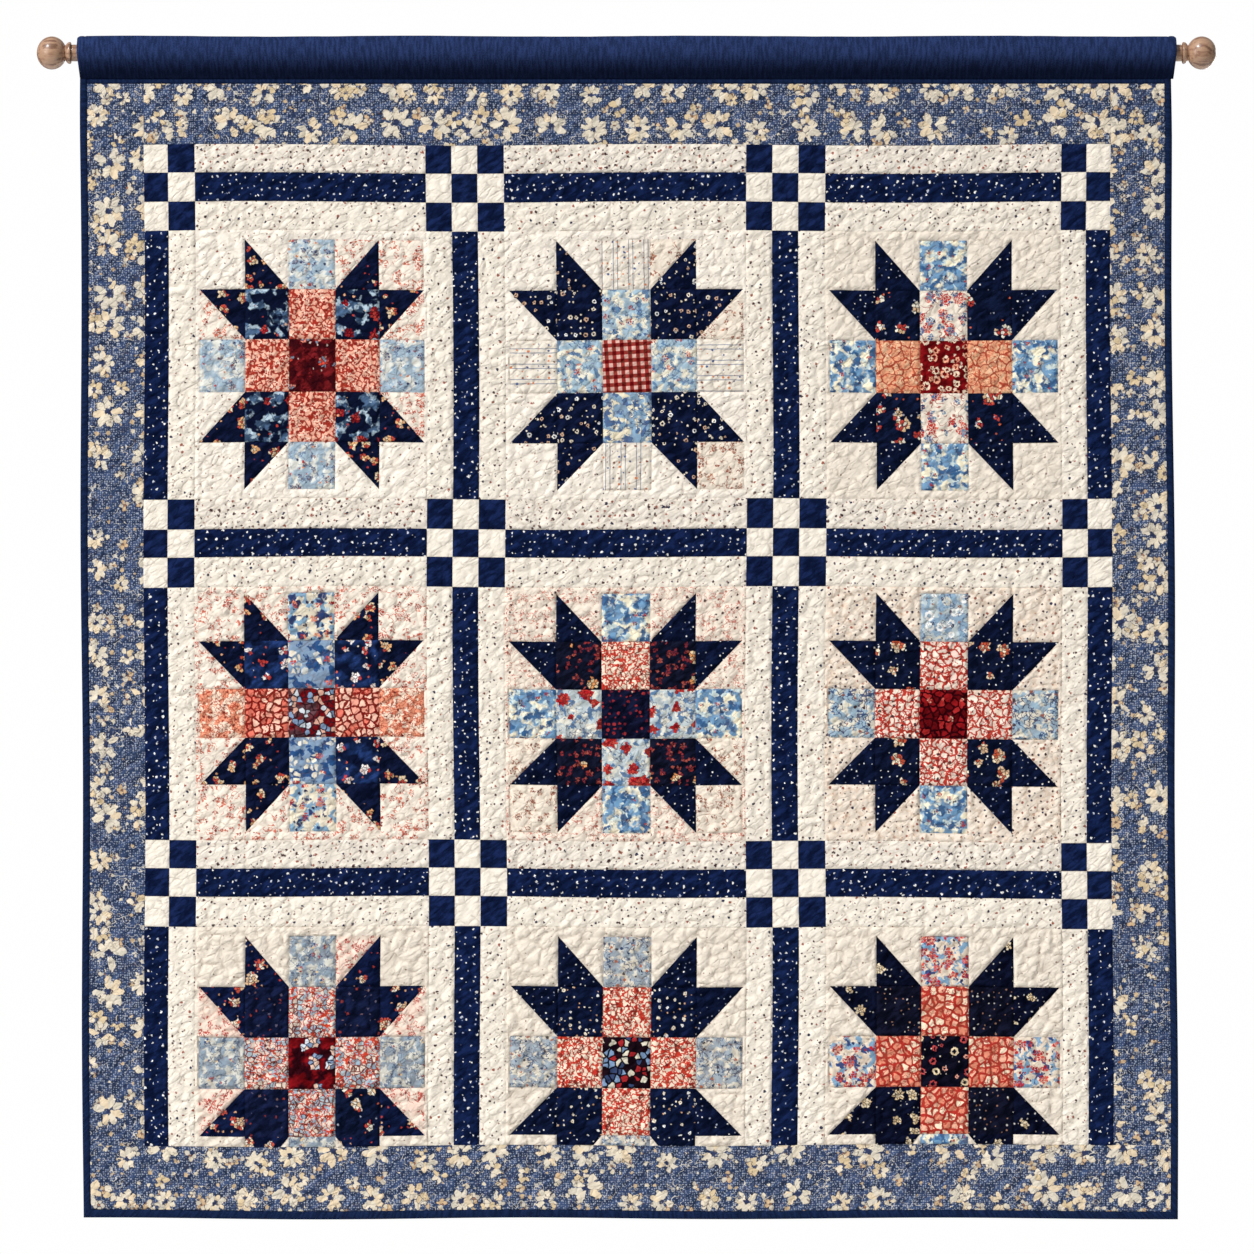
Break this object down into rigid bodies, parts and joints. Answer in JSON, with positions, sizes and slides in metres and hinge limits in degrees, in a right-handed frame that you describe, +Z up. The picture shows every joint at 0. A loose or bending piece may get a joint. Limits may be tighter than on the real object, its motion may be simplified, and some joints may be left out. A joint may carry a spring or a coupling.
{
  "type": "patchwork wall hanging on a wooden pole",
  "caption": "Quilted patchwork hanging of star blocks in checkerboard-cornered sashes with a floral border and dark binding, on a round pole with ball finials through its sleeve.",
  "frame": {"origin": "middle of the pole's axis", "axes": "+Z up, +X to the right as the patchwork is looked at, the patchwork faces -Y"},
  "size_m": [1.227, 0.036, 1.231],
  "materials": {
    "patchwork": "matte",
    "sash_cloth": "matte",
    "cornerstone_cloth": "matte",
    "border_print": "matte",
    "binding_cloth": "matte",
    "sleeve_cloth": "matte",
    "pole_wood": "satin",
    "finial_wood": "semi-gloss"
  },
  "bodies": {
    "root": {"star_block_r1c1": "patchwork", "star_block_r1c2": "patchwork", "star_block_r1c3": "patchwork", "star_block_r2c1": "patchwork", "star_block_r2c2": "patchwork", "star_block_r2c3": "patchwork", "star_block_r3c1": "patchwork", "star_block_r3c2": "patchwork", "star_block_r3c3": "patchwork", "sash_across_r1c1": "sash_cloth", "sash_across_r1c2": "sash_cloth", "sash_across_r1c3": "sash_cloth", "sash_across_r2c1": "sash_cloth", "sash_across_r2c2": "sash_cloth", "sash_across_r2c3": "sash_cloth", "sash_across_r3c1": "sash_cloth", "sash_across_r3c2": "sash_cloth", "sash_across_r3c3": "sash_cloth", "sash_down_r1c1": "sash_cloth", "sash_down_r1c2": "sash_cloth", "sash_down_r1c3": "sash_cloth", "sash_down_r1c4": "sash_cloth", "sash_down_r2c1": "sash_cloth", "sash_down_r2c2": "sash_cloth", "sash_down_r2c3": "sash_cloth", "sash_down_r2c4": "sash_cloth", "sash_down_r3c1": "sash_cloth", "sash_down_r3c2": "sash_cloth", "sash_down_r3c3": "sash_cloth", "sash_down_r3c4": "sash_cloth", "cornerstone_r1c1": "cornerstone_cloth", "cornerstone_r1c2": "cornerstone_cloth", "cornerstone_r1c3": "cornerstone_cloth", "cornerstone_r1c4": "cornerstone_cloth", "cornerstone_r2c1": "cornerstone_cloth", "cornerstone_r2c2": "cornerstone_cloth", "cornerstone_r2c3": "cornerstone_cloth", "cornerstone_r2c4": "cornerstone_cloth", "cornerstone_r3c1": "cornerstone_cloth", "cornerstone_r3c2": "cornerstone_cloth", "cornerstone_r3c3": "cornerstone_cloth", "cornerstone_r3c4": "cornerstone_cloth", "border_top": "border_print", "border_bottom": "border_print", "border_left": "border_print", "border_right": "border_print", "binding_top": "binding_cloth", "binding_bottom": "binding_cloth", "binding_left": "binding_cloth", "binding_right": "binding_cloth", "rod_sleeve": "sleeve_cloth", "pole": "pole_wood", "finial_left": "finial_wood", "finial_right": "finial_wood"}
  },
  "joints": []
}
